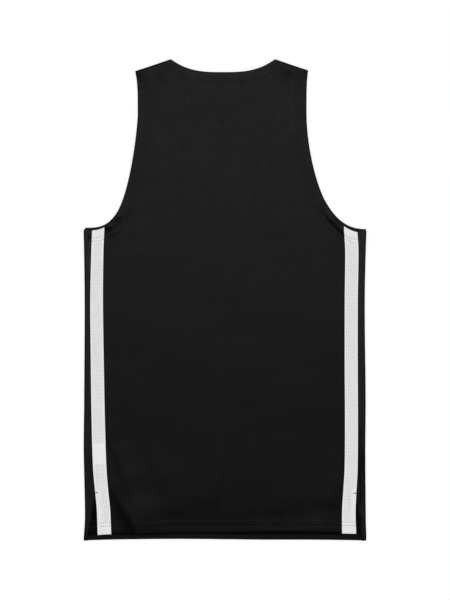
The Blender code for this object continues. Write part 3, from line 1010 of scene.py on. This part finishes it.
def add_holes(pattern, side, edges, kinds):
    """Adds a stripe's staggered holes to its pattern, blind ones where the mesh is doubled."""
    low, high = outline_of(edges)[:, 1].min(), outline_of(edges)[:, 1].max()
    rows = np.arange(round(low / HOLE_ALONG), round(high / HOLE_ALONG) + 1)
    row, column = (grid.ravel() for grid in np.meshgrid(rows, np.arange(-4, 5)))
    y = row * HOLE_ALONG
    x = side.sign * (read(STRIPES, side.name, y) + (column + 0.5 * (row % 2)) * HOLE_ACROSS)
    between = x + HOLE_ACROSS / 2
    inside = on_piece(edges, PLAIN_BORDER + HOLE_RADIUS)(x, y)
    beside = on_piece(edges, PLAIN_BORDER)(between, y)
    doubled = np.zeros(len(x), bool)
    for kind, lines in kinds.items():
        if kind in FINISHES:
            away = away_from(lines, x, y)
            doubled |= away < FINISHES[kind].turned + BLIND_MARGIN
            for stitch_row in FINISHES[kind].rows:
                inside &= np.abs(away - stitch_row) > ROW_CLEAR + HOLE_RADIUS
    plain = (side.sign < 0) & (y > PLAIN_PATCH[0]) & (y < PLAIN_PATCH[1])
    angles = 2 * pi * np.arange(HOLE_SIDES) / HOLE_SIDES
    circle = np.column_stack([np.cos(angles), np.sin(angles)])
    for i in range(len(x)):
        centre = np.array((x[i], y[i]))
        if beside[i]:
            pattern.add([(between[i], y[i])], joined=False)
        if inside[i] and plain[i]:
            pattern.add([centre], joined=False)
        elif inside[i] and doubled[i]:
            pattern.add(centre + HOLE_RADIUS * circle, closed=True, sunk=BLIND_SUNK)
            pattern.add(centre + BLIND_FLOOR * HOLE_RADIUS * circle, closed=True, sunk=CLOTH)
            pattern.add([centre], joined=False, sunk=CLOTH)
        elif inside[i]:
            pattern.add(centre + HOLE_RADIUS * circle, closed=True, sunk=HOLE_SUNK, hole=i)


def make_bar_tack(side, kinds):
    """The close stitches across the stripe's edge at the top of its slit."""
    turn = np.arange(TACK_STITCHES) % 2 - 0.5
    x = side.sign * (stripe_edge(side, SLIT_TOP, 0) - np.linspace(*TACK_REACH, TACK_STITCHES))
    y = SLIT_TOP + TACK_RISE[side.name] + TACK_STAGGER * turn
    heads = np.column_stack([x, y - TACK_HALF])
    tails = np.column_stack([x + TACK_LEAN, y + TACK_HALF])
    return make_threads("bar_tack_" + side.name, heads, tails, kinds, place_upper, MESH_CLOTH, BLACK_THREAD,
                        BOLD_THREAD_RADIUS)


def make_stripe(side):
    """A stripe, the stitch row along its slit, those of its hem and armhole, and its bar tack."""
    edges = stripe_edges(side)
    kinds = by_kind(edges)
    pattern = Pattern(outline_of(edges))
    for edge in edges:
        rows = FINISHES[edge.kind].rows if edge.kind in FINISHES else ()
        at_rows = [row + beside for row in rows for beside in (-GROOVE_WIDTH, 0, GROOVE_WIDTH)]
        for step in (0.25, 0.7, 1.3, *at_rows):
            pattern.add(inside_by(edge, step))
    add_holes(pattern, side, edges, kinds)
    name = "stripe_" + side.name
    stripe = sew_up(name + "_mesh", pattern, kinds, place_upper, MESH_CLOTH)
    keep = on_piece(edges, STITCH_CLEAR)
    rows = make_stitches(name + "_stitching", stitch_lines(edges, ("hem", "arm")), kinds, place_upper,
                         MESH_CLOTH, keep, BLACK_THREAD, BOLD_THREAD_RADIUS)
    slit_row = make_stitches(name + "_slit_stitching", stitch_lines(edges, ("slit",)), kinds, place_upper,
                             MESH_CLOTH, keep, WHITE_THREAD_PAINTED_SHADE)
    return stripe, slit_row, rows, make_bar_tack(side, kinds)


front, front_stitches = make_panel("front", FRONT_EDGES, place_front, FRONT_CLOTH, False, roll_lines())
back, back_stitches = make_panel("back", back_edges(), place_upper, BACK_CLOTH, True)
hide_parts("front_panel")
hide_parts("back_panel")
black_pieces = [front, front_stitches, back, back_stitches]
white_pieces = []
for stripe_side in SIDES:
    stripe, slit_row, rows, bar_tack = make_stripe(stripe_side)
    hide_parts("stripe_" + stripe_side.name)
    black_pieces += [rows, bar_tack]
    white_pieces += [stripe, slit_row]
for piece in black_pieces:
    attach(piece, "root")
for piece in white_pieces:
    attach(piece, "root")


# ---------------------------------------------------------------- floor, light and camera

FLOOR_SIZE = 9000.0
CAMERA_HEIGHT = 2665.0
CAMERA_Y = -0.3
CAMERA_LENS = 100.0
CAMERA_REACH = 50.0             # how far it sees, in metres
SKY_STRENGTH = 0.26
SUN_STRENGTH = 2.66
SUN_ANGLE = 0.5                 # how wide the light is, in radians
SUN_TILT = 14.0                 # off the vertical, towards the neck, in degrees

half_floor = FLOOR_SIZE / 2
floor = make_object("floor", [(-half_floor, -half_floor, 0), (half_floor, -half_floor, 0),
                              (half_floor, half_floor, 0), (-half_floor, half_floor, 0)],
                    [(0, 1, 2, 3)], floor_look())

world = bpy.data.worlds.new("studio")
bpy.context.scene.world = world
world.use_nodes = True
world.node_tree.nodes["Background"].inputs["Color"].default_value = (1, 1, 1, 1)
world.node_tree.nodes["Background"].inputs["Strength"].default_value = SKY_STRENGTH

sun = bpy.data.lights.new("soft_light", "SUN")
sun.energy = SUN_STRENGTH
sun.angle = SUN_ANGLE
sun_object = bpy.data.objects.new("soft_light", sun)
sun_object.rotation_euler = (-SUN_TILT * pi / 180, 0, 0)
bpy.context.scene.collection.objects.link(sun_object)

camera = bpy.data.cameras.new("camera")
camera.lens = CAMERA_LENS
camera.clip_end = CAMERA_REACH
camera_object = bpy.data.objects.new("camera", camera)
camera_object.location = Vector((0, CAMERA_Y, CAMERA_HEIGHT)) * MM
bpy.context.scene.collection.objects.link(camera_object)
bpy.context.scene.camera = camera_object

bpy.context.scene.view_settings.view_transform = "Standard"
bpy.context.scene.cycles.use_denoising = True
